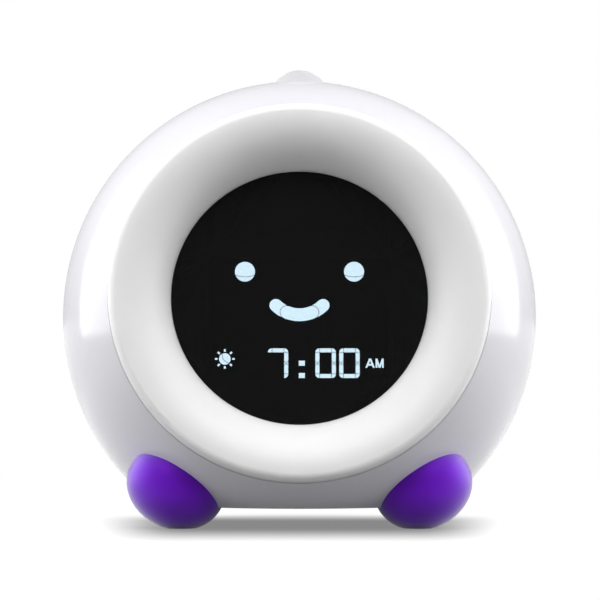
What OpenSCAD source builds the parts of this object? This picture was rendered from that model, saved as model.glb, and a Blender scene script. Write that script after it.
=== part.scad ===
// Children's alarm clock with a night-light ring round its display.
// Millimetres, +Z up, the clock looks towards -Y, and the origin is under the middle of its bounding box.

/* [Body] */
// Radius of the round body
body_r = 60; // [59:0.5:62]
// Wall of the body shells
wall = 2.4; // [2:0.1:2.8]
// Gap between the table and the flat underside
base_lift = 5.2; // [4.6:0.1:5.6]
// Height of the slice cut off below the ball
base_cut = 13.2; // [12.6:0.1:13.6]
// Angle by which the face looks up
face_tilt = 9.5; // [8:0.5:11]
// Distance of the joint between the shells behind the body's centre
joint_back = 6; // [5:0.5:8]
// Depth of the lip that lines the two shells up
lip_depth = 2; // [1.5:0.1:3]
// Radius of the flat panel on the back
panel_r = 28; // [27.5:0.1:29]
// Gap between pieces that fit into each other
fit = 0.1; // [0.05:0.01:0.15]
// Gap round pieces that move
play = 0.3; // [0.25:0.01:0.35]

/* [Night-light ring] */
// Radius at which the ring meets the body
ring_r = 47; // [46.5:0.1:47.4]
// How far the ring stands out of the body
ring_proud = 3.1; // [2.5:0.1:4]
// Radius of the ring's outer lip
ring_lip_r = 1.9; // [1.8:0.1:2.3]
// Wall of the translucent ring
ring_wall = 1.6; // [1.4:0.1:1.7]
// Depth of the ring behind its crest
ring_depth = 10.5; // [10:0.1:10.8]
// Width of the ring's flange behind the shell
ring_flange = 0.8; // [0.5:0.1:1]

/* [Display] */
// Radius of the window
window_r = 31.7; // [31.5:0.1:32.3]
// Depth of the window behind the ring's crest
window_depth = 10.6; // [10:0.1:11]
// Width of the ring's ledge in front of the window
window_ledge = 1.8; // [1.6:0.1:2]
// Thickness of the window
window_t = 1.6; // [1.2:0.1:2]
// Gap between the window and the display glass
gasket_t = 0.8; // [0.6:0.1:1]
// Thickness of the black mask behind the window
mask_t = 0.2; // [0.1:0.05:0.3]
// Width of the foam gasket's rim
gasket_w = 1; // [0.8:0.1:1.1]
// Width of the display glass
glass_w = 46; // [45:0.5:46.5]
// Height of the display glass
glass_h = 32; // [31:0.5:32.5]
// Drop of the display glass below the window's centre
glass_drop = 5; // [4.6:0.1:5.2]
// Thickness of the display glass
glass_t = 2.4; // [2:0.1:2.6]
// Thickness of the display's light guide
guide_t = 3.2; // [2.8:0.1:3.6]
// Width of the rim that holds the glass
holder_rim = 1.4; // [1.2:0.1:1.5]
// Width of a rubber contact strip
strip_w = 1.6; // [1.4:0.1:2]

/* [Display segments] */
// Thickness of the lit segments
segment_t = 0.2; // [0.1:0.05:0.3]
// Gap between two segments
segment_gap = 0.12; // [0.08:0.02:0.2]
// Height of a digit
digit_h = 7.4; // [6.5:0.1:7.6]
// Width of a digit
digit_w = 5.05; // [4.5:0.05:5.4]
// Width of a segment's stroke
stroke_w = 1; // [0.8:0.05:1.2]
// Distance between the places of the digits
digit_pitch = 5.87; // [5.6:0.01:6]
// Place of the first digit left of the middle
time_x = 5.3; // [5:0.1:5.8]
// Drop of the time below the window's centre
time_drop = 16.1; // [15:0.1:16.2]
// Height of the letters
letter_h = 2.3; // [2:0.1:2.6]
// Stroke of the letters
letter_w = 0.44; // [0.35:0.01:0.5]
// Radius of the sun's disc
sun_r = 1.44; // [1.2:0.02:1.5]
// Place of the sun left of the middle
sun_x = 18.4; // [18:0.1:19]
// Height of the two round dots above the window's centre
dot_rise = 6.8; // [6:0.1:7]
// Distance of each dot from the middle
dot_x = 13.5; // [12:0.1:14]
// Radius of each dot
dot_r = 2.48; // [2:0.02:2.6]
// Radius of the curve under the dots
smile_r = 8.4; // [7:0.1:9]
// Stroke of that curve
smile_w = 3.2; // [2.4:0.1:3.4]
// Half of the angle that the curve spans
smile_angle = 44; // [35:1:55]
// Half of the angle that the curve's middle segment spans
smile_split = 22; // [16:1:24]
// Height of that curve's centre above the window's centre
smile_rise = 4.4; // [3.6:0.1:4.8]

/* [Boards] */
// Thickness of the circuit boards
board_t = 1.6; // [1.2:0.1:2]
// Radius of the main board
main_board_r = 34; // [33:0.5:34.5]
// Angle of the main board's screws above the horizontal
post_angle = 57; // [56:0.5:60]
// Gap between the light guide and the main board
guide_gap = 1.2; // [1:0.1:1.6]
// Number of night-light LEDs
led_count = 12; // [8:1:16]
// Side of an LED
led_side = 3.5; // [2.8:0.1:4]
// Height of an LED
led_h = 1.4; // [1:0.1:1.8]

/* [Carrier] */
// Thickness of the carrier plate
carrier_t = 2; // [1.6:0.1:2.4]
// Wall of the carrier's rims
carrier_rim = 1.6; // [1.4:0.1:1.8]
// Distance of the carrier's screws outside the ring
ear_out = 4.2; // [4:0.1:4.4]
// Angle of the carrier's screws above the horizontal
ear_angle = 38; // [34:1:42]
// Distance of the carrier's ears in front of the body's centre
ear_z = 18; // [17:0.5:18.5]

/* [Screws] */
// Radius of the small screws' thread
thread_r = 0.9; // [0.8:0.05:1]
// Radius of the small screws' heads
head_r = 1.9; // [1.7:0.1:2.1]
// Height of the small screws' heads
head_h = 1.2; // [1:0.1:1.4]
// Radius of the case screws' thread
case_thread_r = 1.3; // [1.2:0.05:1.4]
// Radius of the case screws' heads
case_head_r = 2.4; // [2.2:0.1:2.6]
// Radius of the bosses that the case screws hold
case_boss_r = 3.8; // [3.6:0.1:4]
// Distance of the case screws inside the ball's surface
case_inset = 7.6; // [7.2:0.1:8]
// Depth of a case screw in the front shell
case_screw_depth = 10; // [8:0.5:11]

/* [Top button] */
// Radius of the button
button_r = 7.6; // [7.4:0.1:7.9]
// How far the button stands out of the body
button_proud = 2.8; // [2.4:0.1:3.2]
// Radius of the button's flat summit
button_top_r = 1.9; // [1.5:0.1:2.4]
// Travel of the button
button_travel = 1; // [0.8:0.1:1.2]
// Radius of the wire of the button's spring
spring_wire_r = 0.3; // [0.25:0.05:0.35]
// Turns of the button's spring
spring_turns = 6; // [5:1:8]

/* [Switches] */
// Side of a push switch
switch_side = 6; // [5.6:0.1:6.2]
// Height of a push switch's housing
switch_h = 3.4; // [3:0.1:3.6]
// Radius of a push switch's plunger
plunger_r = 1.7; // [1.5:0.1:1.8]
// How far a plunger stands out of its housing
plunger_out = 2.1; // [1.9:0.1:2.2]

/* [Keys] */
// Radius of a key on the back
key_r = 3.4; // [3.2:0.1:3.6]
// Distance between the keys
key_pitch = 11; // [10.6:0.1:11.2]
// Drop of the keys below the panel's centre
key_drop = 9; // [8.8:0.1:9.2]
// How far a key stands out of the panel
key_proud = 1.2; // [1:0.1:1.5]
// Travel of a key
key_travel = 0.8; // [0.6:0.05:0.9]
// Width of a key's flange behind the panel
key_flange = 1; // [0.8:0.1:1.1]

/* [Alarm slide switch] */
// Width of the sliding knob
knob_w = 3.6; // [3.4:0.1:4]
// Height of the sliding knob
knob_h = 2.8; // [2.6:0.1:3]
// Travel of the sliding knob
knob_travel = 3; // [2.6:0.1:3.2]
// Place of the slide switch left of the middle
knob_x = 10; // [9.8:0.1:10.2]
// Drop of the slide switch and the power socket below the panel's centre
lower_drop = 19; // [18.8:0.1:19.4]

/* [Power socket] */
// Width of the power socket
socket_w = 8.94; // [8.9:0.01:9]
// Height of the power socket
socket_h = 3.26; // [3.2:0.01:3.3]
// Wall of the power socket
socket_wall = 0.3; // [0.25:0.01:0.35]
// Place of the power socket right of the middle
socket_x = 9; // [8.6:0.1:9.4]

/* [Speaker] */
// Radius of the speaker
speaker_r = 14; // [13.6:0.1:14.2]
// Height of the speaker above the panel's centre
speaker_rise = 11; // [10.8:0.1:11.4]
// Depth of the speaker
speaker_depth = 10; // [9:0.5:11]
// Radius of the speaker's magnet
magnet_r = 8; // [7:0.5:8.5]
// Radius of a hole in the speaker grille
grille_hole_r = 0.8; // [0.6:0.05:0.9]
// Distance between the rings of grille holes
grille_pitch = 2.6; // [2.4:0.1:2.8]
// Rings of holes in the grille
grille_rings = 3; // [2:1:4]

/* [Battery box] */
// Radius of an AAA cell
cell_r = 5.15; // [5.1:0.05:5.25]
// Length of an AAA cell with its nub
cell_l = 44.5; // [44:0.1:44.8]
// Distance between the cells
cell_pitch = 10.7; // [10.6:0.05:10.8]
// Length of a pressed contact spring
contact_l = 3.6; // [3.2:0.1:4]
// Thickness of the contact plates
contact_t = 0.4; // [0.3:0.05:0.5]
// Wall of the battery box
box_wall = 1.4; // [1.2:0.1:1.5]
// Width of the flange round the battery box
flange_w = 5.4; // [5.2:0.1:5.6]
// Thickness of the battery door
door_t = 1.6; // [1.4:0.1:1.8]
// Distance of the base screws from the middle, front and back
base_screw_y = 13; // [12:0.5:14]

/* [Feet] */
// Half length of a front foot
foot_a = 12.4; // [12:0.1:12.8]
// Half width of a front foot
foot_b = 10.45; // [10.3:0.05:10.7]
// Slope of a front foot
foot_slope = 21; // [15:1:25]
// Depth of a front foot's centre inside the ball's surface
foot_sunk = 1; // [0.8:0.1:1.2]
// Distance of a front foot's centre behind the ball's foremost point
foot_back = 31.7; // [31.3:0.1:32.1]
// Height of a front foot's centre
foot_z = 10.2; // [10:0.1:10.3]
// Radius of the rubber pad under a front foot
pad_r = 2.2; // [1.8:0.1:2.4]
// Thickness of the rubber pad
pad_t = 1.2; // [1:0.1:1.5]
// Radius of a rear foot
rear_foot_r = 3.9; // [3.6:0.1:4]
// Distance of a rear foot's centre inside the edge of the flat underside
rear_foot_inset = 3.6; // [3.5:0.1:3.8]
// Distance of a rear foot behind the body's centre
rear_foot_back = 20; // [19.5:0.1:20.5]

/* [Hidden] */
$fn = 72;
over = 1; // how far a cut runs past what it cuts
bite = 0.1; // how far two pieces of one solid reach into each other

// Night-light ring
crest_z = sqrt(body_r^2 - ring_r^2) + ring_proud;
ring_mid_r = ring_r - ring_lip_r;
ring_back_z = crest_z - ring_depth;
window_z = crest_z - window_depth;
ring_ledge_t = 1.2;
ring_flange_h = 3;
ring_curve_r = ((ring_mid_r - window_r)^2 + window_depth^2) / (2 * window_depth);

// Body
panel_z = sqrt(body_r^2 - panel_r^2);
panel_inner_z = panel_z - wall;
reach = body_r + over; // half width of the blocks that cut the ball, clear of its surface
centre_z = base_lift + body_r - base_cut;
underside_r = sqrt(body_r^2 - (body_r - base_cut)^2);
front_reach = (crest_z - ring_lip_r) * cos(face_tilt) + ring_mid_r * sin(face_tilt) + ring_lip_r;
back_reach = panel_z * cos(face_tilt) + panel_r * sin(face_tilt);
centre_y = (front_reach - back_reach) / 2;
floor_z = base_lift + wall;
ledge_t = 1.4;
ledge_over = 2;
boss_wall = 0.5;
pilot_rest = 0.5; // room under a screw's tip
post_bite = 5.5; // grip of the screws in the posts of the front shell
board_bite = 2.5; // grip of the main board's screws
case_circle_r = body_r - case_inset;
case_boss_rib = 2;
case_boss_h = case_screw_depth + 3;
case_seat = 7; // length of a case screw behind the joint
case_head_h = 2;
foot_seat = 1.2; // thickening of the shell under a foot screw's head

// Display stack, counted backwards from the window's front face
window_disc_r = window_r + window_ledge;
window_back_z = window_z - window_t;
glass_z = window_back_z - gasket_t;
guide_z = glass_z - glass_t;
guide_back_z = guide_z - guide_t;
main_board_z = guide_back_z - guide_gap;
main_board_back_z = main_board_z - board_t;
holder_w = glass_w + 2 * holder_rim;
holder_h = glass_h + 2 * holder_rim;
holder_step = 1; // steps on which the glass and the light guide rest
guide_w = glass_w - 2 * holder_step;
guide_h = glass_h - 4 * strip_w;

// Display segments, drawn for a glass of this size and drop
drawing_w = 46;
drawing_h = 32;
drawing_drop = 5;
letter_a_w = 2.3;
letter_m_w = 2;
letter_gap = 0.2;
sun_gap = 0.36;
sun_ray_l = 0.64;
sun_ray_w = 0.46;
moon_r = 1.84;
moon_at = [1.2, 0.85];
dot_line_r = 6.4;
dot_line_drop = 1.3;
colon_w = 1.5;
colon_h = 1.25;
arc_steps = 8;

// Parts on the main board's back
processor_at = [0, 4];
processor_size = [12, 12, 1.4];
clock_chip_at = [-15, 6];
clock_chip_size = [6, 5, 1.5];
buzzer_chip_at = [14, -4];
buzzer_chip_size = [8, 8, 3];
capacitors_at = [[-20, -8], [-13, -8]];
capacitor_r = 2.8;
capacitor_h = 5.5;

// Carrier
skirt_t = 1.8;
skirt_z = window_back_z - gasket_t;
collar_r = window_disc_r + fit;
collar_out_r = collar_r + skirt_t;
led_board_t = 1.2;
skirt_l = 2.2;
carrier_z = skirt_z - skirt_l;
carrier_back_z = carrier_z - carrier_t;
rim_r = ring_r - fit;
led_circle_r = (collar_out_r + rim_r - carrier_rim) / 2;
led_hole_angle = 170;
led_hole = led_circle_r * [cos(led_hole_angle), sin(led_hole_angle)];
led_hole_r = 2.2;
ear_wall = 0.9;
ear_r = head_r + ear_wall;
ear_circle_r = ring_r + ear_out;
board_margin = 0.6;
post_circle_r = main_board_r - head_r - board_margin;

// Top button, counted from the body's centre
button_hole_r = button_r + play;
button_seat_z = sqrt(body_r^2 - button_r^2) - fit;
button_collar_h = 0.6;
button_stop_z = sqrt((body_r - wall)^2 - button_hole_r^2) - button_collar_h;
button_flange_w = 1.5;
button_flange_r = button_r + button_flange_w;
button_flange_t = 1;
button_collar_w = 1.4;
button_skin = 1.6;
stem_r = 2.2;
plunger_seat = 0.6;
stem_l = 6.4; // below the button's collar
stem_end_z = button_stop_z - stem_l;
button_board_z = stem_end_z - plunger_out - switch_h;
spring_gap = 0.5;
button_spring_r = switch_side / sqrt(2) + spring_wire_r + spring_gap;
button_roof_rise = 0.4;
button_roof_z = body_r - button_skin + button_roof_rise;
button_post_r = 2.4;
button_post_gap = 0.5;
button_post_x = button_flange_r + button_post_r + button_post_gap;
button_board_l = 12;

// Back panel, where depths are counted from the outer face of the panel inwards
key_skin_gap = play;
key_flange_t = 1;
key_places = [for (i = [-1.5:1:1.5]) [i * key_pitch, -key_drop]];
key_stem_l = 1.4;
key_stem_end = wall + key_skin_gap + key_flange_t + key_stem_l;
key_board_depth = key_stem_end + plunger_out + switch_h;
key_board_w = 50;
key_board_gap = 1;
key_board_top = -speaker_rise + speaker_r + key_board_gap;
key_board_foot = 5;
key_board_bottom = lower_drop + key_board_foot;
key_boss_r = head_r + boss_wall;
key_boss_low = 5.2; // drop of the side bosses below the keys
key_boss_foot = 2.2; // drop of the middle boss below the slide switch
key_boss_places = [[-2.05 * key_pitch, -key_drop - key_boss_low],
    [2.05 * key_pitch, -key_drop - key_boss_low], [0, -lower_drop - key_boss_foot]];
knob_slot_w = knob_w + knob_travel + 2 * play;
knob_slot_h = knob_h + 2 * play;
knob_start_x = -knob_x - knob_travel / 2;
knob_flange_end = 0.5;
knob_flange_w = knob_slot_w + knob_travel + 2 * knob_flange_end;
knob_stem = 1.6;
knob_proud = 0.9;
knob_groove = 0.5;
knob_flange_over = 0.8; // how far the flange reaches past its slot
key_screw_bite = 4.5;
key_edge = 0.8;
slide_body_w = 9;
slide_body_h = 3.6;
slide_pocket_depth = 2;
socket_recess = 0.5;
socket_floor_t = 2;
socket_tongue_w = 6.64;
socket_tongue_t = 0.7;
socket_tongue_back = 0.6; // how far the tongue ends behind the socket's mouth
speaker_flange_t = 1;
speaker_screw_out = 2.2;
speaker_screw_circle = speaker_r + speaker_screw_out;
speaker_screw_angles = [-20, 35, 145, 200];
speaker_boss_r = 1.9;
speaker_head_over = 0.6; // how far a head reaches over the speaker's rim
speaker_head_r = speaker_screw_out + speaker_head_over;
speaker_rim_w = 1.1;
basket_t = 0.8;
basket_lip = 2.2;
basket_back = speaker_depth / 2;
cone_z = 0.9;
cone_t = 0.5;
surround_r = 1.3;
voice_coil_r = 4.4;
cap_z = 3.9;
magnet_edge = 0.6;

// Battery box, centred on the body
cell_nub_r = 1.9;
cell_nub_h = 1.2;
cell_edge = 0.5;
contact_side = 8;
contact_wire_r = 0.3;
contact_spring_r = 3.2;
contact_taper = 1.4;
cell_gap = 0.3;
cell_end_gap = 0.2;
cell_room = 0.4; // above and below the cells
box_w = 2 * cell_pitch + 2 * cell_r + cell_gap + 2 * box_wall;
box_l = cell_l + contact_l + 2 * contact_t + cell_end_gap + 2 * box_wall;
cell_z = base_lift + door_t + cell_room + cell_r;
box_roof_z = cell_z + cell_r + cell_room;
plate_w = box_w + 2 * flange_w;
plate_l = box_l + 2 * flange_w;
plate_corner_r = 12;
door_step = 0.3; // by which the door is smaller than the box on each side
door_w = box_w - 2 * door_step;
door_l = box_l - 2 * door_step;
door_corner_r = 2;
door_tab_wall = 0.7;
door_tab_r = head_r + door_tab_wall;
door_screw_y = box_l / 2 + door_tab_r;
door_screw_boss_h = 6;
door_screw_bite = 4;
door_head_sink = 0.4;
door_head_h = head_h - door_head_sink;
door_rib_w = 10;
door_rib_t = 0.8;
door_rib_h = 0.3;
door_grip_w = 12;
door_grip_t = 0.8;
door_grip_depth = 0.5;
door_grip_edge = 7;
door_grip_y = door_grip_edge - door_l / 2;
base_screw_x = (box_w + plate_w) / 4;
base_boss_h = 6;
base_screw_bite = 4.8;
base_screws_at = [for (x = [-1, 1], y = [-1, 1]) [x * base_screw_x, y * base_screw_y]];

// Feet
foot_forward = body_r - foot_back;
foot_x = sqrt((body_r - foot_sunk)^2 - foot_forward^2 - (centre_z - foot_z)^2);
rear_foot_x = sqrt((underside_r - rear_foot_inset)^2 - rear_foot_back^2);
foot_low_r = norm([foot_a * sin(foot_slope), foot_b * cos(foot_slope)]);
foot_low_x = foot_x - (foot_a^2 - foot_b^2) * sin(foot_slope) * cos(foot_slope) / foot_low_r;
foot_turn = atan2(norm([foot_x, foot_forward]), centre_z - foot_z);
foot_swing = atan2(foot_x, foot_forward);
foot_screw_l = 9;
foot_pilot_r = 1.2;
foot_head_h = 1.5;
rear_stem_r = 1.5;
rear_stem_up = 0.6; // how far the stem stands out of the floor inside
rear_foot_edge = 1;

// Cables: their routes run in the face's frame, from a plug on the main board to the piece they serve
wire_r = 0.6;
wire_gap = 1.6;
ribbon_w = 9;
ribbon_t = 0.7;
ribbon_end_y = -14;
plug_w = 8;
plug_l = 5;
plug_h = 4;
speaker_plug = [16, 12];
led_plug = [-18, 16];
button_plug = [2, 24];
battery_plug = [-16, -20];
plug_z = main_board_back_z - plug_h - fit;
ribbon_start_z = key_board_depth + board_t - panel_z;
ribbon_end_z = main_board_back_z - plug_h;
ribbon_bend = [[0, -13], [0.1, -15.5], [0.34, -17.5], [0.57, -17], [0.77, -15], [0.92, ribbon_end_y],
    [1, ribbon_end_y]]; // share of the way to the main board, and height
ribbon_route = [for (p = ribbon_bend) [p[1], ribbon_start_z + p[0] * (ribbon_end_z - ribbon_start_z)]];
speaker_route = [[each speaker_plug, plug_z], [16, 12, 10], [17, 13, 0], [17, 14, -16], [15, 13, -32],
    [speaker_r - 1.6, speaker_rise, wall + 2.5 - panel_z]];
led_route = [[each led_plug, plug_z], [-18, 15.6, 12], [-24, 13, 9.5], [-33, 9.5, 12], [-38, 8, 18],
    [each led_hole, carrier_z - fit]];
button_route = [[each button_plug, plug_z], [3, 26, 11], [5, 33, 8],
    to_face([6, 1, button_board_z - board_t - 3]), to_face([6, 1, button_board_z - board_t - fit])];
battery_route = [[each battery_plug, plug_z], [-15.6, -21, 10.5], [-13, -27, 8.5],
    to_face([-10, -19, box_roof_z + box_wall + 3 - centre_z]),
    to_face([-10, -19, box_roof_z + box_wall + fit - centre_z])];

// ---- Frames ----

module at_centre() {
    translate([0, centre_y, centre_z])
        children();
}

module in_face() {
    at_centre()
        rotate([90 - face_tilt, 0, 0])
            children();
}

// Depths grow from the back panel's outer face into the body
module in_panel() {
    in_face()
        translate([0, 0, -panel_z])
            children();
}

module mirrored_pair() {
    children();
    mirror([1, 0, 0])
        children();
}

module ring_of(places) {
    for (p = places)
        translate([p[0], p[1], 0])
            children();
}

module four_round(radius, angle) {
    for (a = [angle, 180 - angle, 180 + angle, 360 - angle])
        rotate(a)
            translate([radius, 0, 0])
                children();
}

// ---- Profiles ----

module rounded_plate(w, l, r) {
    square([w - 2 * r, l], center = true);
    square([w, l - 2 * r], center = true);
    for (x = [-1, 1], y = [-1, 1])
        translate([x * (w / 2 - r), y * (l / 2 - r)])
            circle(r = r);
}

module stadium(w, h) {
    square([w - h, h], center = true);
    for (x = [-1, 1])
        translate([x * (w - h) / 2, 0])
            circle(r = h / 2);
}

module tube(r_out, r_in, h) {
    rotate_extrude()
        translate([r_in, 0])
            square([r_out - r_in, h]);
}

// Round edge on the outer rim of a disc, as a profile for rotate_extrude
module soft_disc_profile(r, h, edge) {
    square([r - edge, h]);
    square([r, h - edge]);
    translate([r - edge, h - edge])
        circle(r = edge);
}

// ---- Swept wires ----

// A point given from the body's centre, upright, in the face's frame
function to_face(p) = [p[0], p[1] * sin(face_tilt) + p[2] * cos(face_tilt),
    p[2] * sin(face_tilt) - p[1] * cos(face_tilt)];

function unit(v) = v / norm(v);

function curve_point(a, b, c, d, t) =
    0.5 * (2 * b + (c - a) * t + (2 * a - 5 * b + 4 * c - d) * t^2 + (3 * b - a - 3 * c + d) * t^3);

function smooth_route(p, steps) = [
    for (i = [0:len(p) - 2], k = [0:steps - 1])
        curve_point(p[max(i - 1, 0)], p[i], p[i + 1], p[min(i + 2, len(p) - 1)], k / steps),
    p[len(p) - 1]];

function heading(path, i) = unit(path[min(i + 1, len(path) - 1)] - path[max(i - 1, 0)]);

function wire_ring(centre, along, side_hint, r, sides) =
    let (u = unit(cross(along, side_hint)), v = cross(along, u))
    [for (k = [0:sides - 1]) centre + r * (cos(360 * k / sides) * u + sin(360 * k / sides) * v)];

module wire(path, r, side_hint, sides = 8) {
    rings = [for (i = [0:len(path) - 1]) each wire_ring(path[i], heading(path, i), side_hint, r, sides)];
    last = (len(path) - 1) * sides;
    skin = [for (i = [0:sides:last - 1], k = [0:sides - 1], half = [0, 1])
        let (next = (k + 1) % sides)
            half == 0 ? [i + k, i + sides + k, i + sides + next] : [i + k, i + sides + next, i + next]];
    polyhedron(points = rings, convexity = 6,
        faces = concat([[for (k = [0:sides - 1]) k]], skin, [[for (k = [sides - 1:-1:0]) last + k]]));
}

module wire_pair(route, offset) {
    for (s = [-0.5, 0.5])
        wire([for (p = smooth_route(route, 4)) p + s * offset], wire_r, [0.2, 1, 0.1]);
}

// Helix that climbs from the origin; taper narrows it towards its top
function helix(r, length, turns, steps, taper = 0) = [
    for (i = [0:turns * steps])
        let (t = i / (turns * steps), a = 360 * i / steps, radius = r - taper * t)
        [radius * cos(a), radius * sin(a), length * t]];

// ---- Body ----

module body_solid(inset) {
    intersection() {
        in_face()
            sphere(r = body_r - inset, $fn = 240);
        in_face()
            translate([-reach, -reach, inset - panel_z])
                cube(2 * reach);
        translate([-reach, centre_y - reach, base_lift + inset])
            cube(2 * reach);
    }
}

module front_half() {
    in_face()
        translate([-reach, -reach, -joint_back])
            cube(2 * reach);
}

module rear_half() {
    in_face()
        translate([-reach, -reach, -joint_back - 2 * reach])
            cube(2 * reach);
}

// Tongue along the inner half of the wall; clearance thins and shortens it
module joint_lip(clearance) {
    intersection() {
        difference() {
            body_solid(wall / 2 + clearance);
            body_solid(wall);
        }
        in_face()
            translate([-body_r, -body_r, -joint_back - fit])
                cube([2 * body_r, 2 * body_r, lip_depth + fit - clearance]);
    }
}

// Ledge and bosses in the floor, to which the base plate is screwed
module floor_ledge() {
    intersection() {
        body_solid(wall / 2);
        translate([0, centre_y, 0]) {
            translate([0, 0, floor_z - fit])
                linear_extrude(ledge_t + fit)
                    difference() {
                        rounded_plate(plate_w + 2 * ledge_over, plate_l + 2 * ledge_over,
                            plate_corner_r + ledge_over);
                        rounded_plate(box_w + 2 * play, box_l + 2 * (play + 2 * door_tab_r), door_corner_r);
                    }
            ring_of(base_screws_at)
                translate([0, 0, floor_z - fit])
                    cylinder(r = head_r + boss_wall, h = base_boss_h);
        }
    }
}

module floor_opening() {
    translate([0, centre_y, 0]) {
        translate([0, 0, base_lift - over])
            linear_extrude(wall + over)
                rounded_plate(plate_w + 2 * fit, plate_l + 2 * fit, plate_corner_r + fit);
        ring_of(base_screws_at)
            translate([0, 0, floor_z - over])
                cylinder(r = thread_r, h = over + base_screw_bite + pilot_rest);
    }
}

module case_screw_places() {
    in_face()
        four_round(case_circle_r, 45)
            translate([0, 0, -joint_back])
                children();
}

module foot_screw_places() {
    mirrored_pair()
        at_centre()
            rotate([0, 0, -foot_swing])
                rotate([180 - foot_turn, 0, 0])
                    children();
}

module front_shell_bosses() {
    intersection() {
        body_solid(wall / 2);
        union() {
            case_screw_places() {
                cylinder(r = case_boss_r, h = case_boss_h);
                translate([0, -case_boss_rib / 2, 0])
                    cube([body_r - case_circle_r, case_boss_rib, case_boss_h]);
            }
            in_face()
                four_round(ear_circle_r, ear_angle)
                    translate([0, 0, ear_z])
                        cylinder(r = ear_r, h = body_r - ear_z);
            at_centre() {
                for (x = [-1, 1])
                    translate([x * button_post_x, 0, button_board_z])
                        cylinder(r = button_post_r, h = body_r - button_board_z);
                translate([0, 0, button_stop_z])
                    tube(button_flange_r + button_collar_w, button_hole_r, body_r - button_stop_z);
            }
            foot_screw_places()
                translate([0, 0, body_r - wall - foot_seat])
                    cylinder(r = case_head_r + 1, h = 2);
        }
    }
}

module front_shell() {
    color("white")
        difference() {
            union() {
                intersection() {
                    difference() {
                        body_solid(0);
                        body_solid(wall);
                    }
                    front_half();
                }
                front_shell_bosses();
                intersection() {
                    floor_ledge();
                    front_half();
                }
            }
            joint_lip(0);
            in_face()
                translate([0, 0, ear_z + over])
                    cylinder(r = ring_r + fit, h = body_r);
            floor_opening();
            at_centre() {
                translate([0, 0, button_stop_z - over])
                    cylinder(r = button_hole_r, h = body_r);
                for (x = [-1, 1])
                    translate([x * button_post_x, 0, button_board_z - over])
                        cylinder(r = thread_r, h = over + post_bite + pilot_rest);
            }
            in_face()
                four_round(ear_circle_r, ear_angle)
                    translate([0, 0, ear_z - over])
                        cylinder(r = thread_r, h = over + post_bite + pilot_rest);
            case_screw_places()
                translate([0, 0, -over])
                    cylinder(r = case_thread_r, h = over + case_screw_depth + pilot_rest);
            foot_screw_places()
                translate([0, 0, body_r - wall - foot_seat - over])
                    cylinder(r = foot_pilot_r + fit, h = wall + foot_seat + 2 * over);
        }
}

module grille_holes() {
    translate([0, speaker_rise, -over]) {
        cylinder(r = grille_hole_r, h = wall + 2 * over);
        for (k = [1:grille_rings], a = [0:360 / (6 * k):359])
            rotate(a)
                translate([k * grille_pitch, 0, 0])
                    cylinder(r = grille_hole_r, h = wall + 2 * over);
    }
}

module speaker_screw_places() {
    in_panel()
        translate([0, speaker_rise, wall + speaker_flange_t])
            for (a = speaker_screw_angles)
                rotate(a)
                    translate([speaker_screw_circle, 0, 0])
                        children();
}

module rear_shell_bosses() {
    intersection() {
        body_solid(wall / 2);
        union() {
            case_screw_places()
                translate([0, 0, -body_r])
                    cylinder(r = case_boss_r, h = body_r);
            in_panel() {
                ring_of(key_boss_places)
                    translate([0, 0, wall / 2])
                        cylinder(r = key_boss_r, h = key_board_depth - wall / 2);
                translate([0, speaker_rise, wall / 2])
                    tube(speaker_r + fit + speaker_rim_w, speaker_r + fit, wall / 2 + speaker_flange_t);
            }
            speaker_screw_places()
                translate([0, 0, -speaker_flange_t - wall])
                    cylinder(r = speaker_boss_r, h = speaker_flange_t + wall);
        }
    }
}

module rear_shell() {
    color("white")
        difference() {
            union() {
                intersection() {
                    difference() {
                        body_solid(0);
                        body_solid(wall);
                    }
                    rear_half();
                }
                joint_lip(fit);
                rear_shell_bosses();
                intersection() {
                    floor_ledge();
                    rear_half();
                }
            }
            floor_opening();
            case_screw_places() {
                translate([0, 0, -body_r])
                    cylinder(r = case_thread_r + fit, h = body_r + over);
                translate([0, 0, -body_r - case_seat])
                    cylinder(r = case_head_r + play, h = body_r);
            }
            in_panel() {
                grille_holes();
                ring_of(key_places)
                    translate([0, 0, -over])
                        cylinder(r = key_r + play, h = wall + 2 * over);
                translate([-knob_x, -lower_drop, -over])
                    linear_extrude(wall + 2 * over)
                        square([knob_slot_w, knob_slot_h], center = true);
                translate([socket_x, -lower_drop, -over])
                    linear_extrude(wall + 2 * over)
                        stadium(socket_w + 2 * play, socket_h + 2 * play);
                ring_of(key_boss_places)
                    translate([0, 0, key_board_depth - key_screw_bite - pilot_rest])
                        cylinder(r = thread_r, h = key_screw_bite + pilot_rest + over);
            }
            speaker_screw_places()
                translate([0, 0, -speaker_flange_t])
                    cylinder(r = thread_r, h = speaker_flange_t + over);
            mirrored_pair()
                translate([rear_foot_x, centre_y + rear_foot_back, base_lift - over])
                    cylinder(r = rear_stem_r + fit, h = wall + 2 * over);
        }
}

module case_screws() {
    color("silver")
        case_screw_places() {
            translate([0, 0, -case_seat])
                cylinder(r = case_thread_r, h = case_screw_depth + case_seat);
            translate([0, 0, -case_seat - case_head_h])
                cylinder(r = case_head_r, h = case_head_h);
        }
}

// ---- Night-light ring and display ----

// Section of the ring's outside; inset takes its wall off
module ring_outline(inset) {
    intersection() {
        translate([ring_mid_r, crest_z - ring_curve_r])
            circle(r = ring_curve_r - inset);
        translate([0, window_z])
            square([ring_mid_r, window_depth]);
    }
    intersection() {
        translate([ring_mid_r, crest_z - ring_lip_r])
            circle(r = ring_lip_r - inset);
        translate([ring_mid_r - fit, crest_z - ring_lip_r])
            square(ring_lip_r + fit);
    }
    translate([ring_mid_r - fit, ring_back_z])
        square([ring_lip_r - inset + fit, ring_depth - ring_lip_r]);
}

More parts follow.
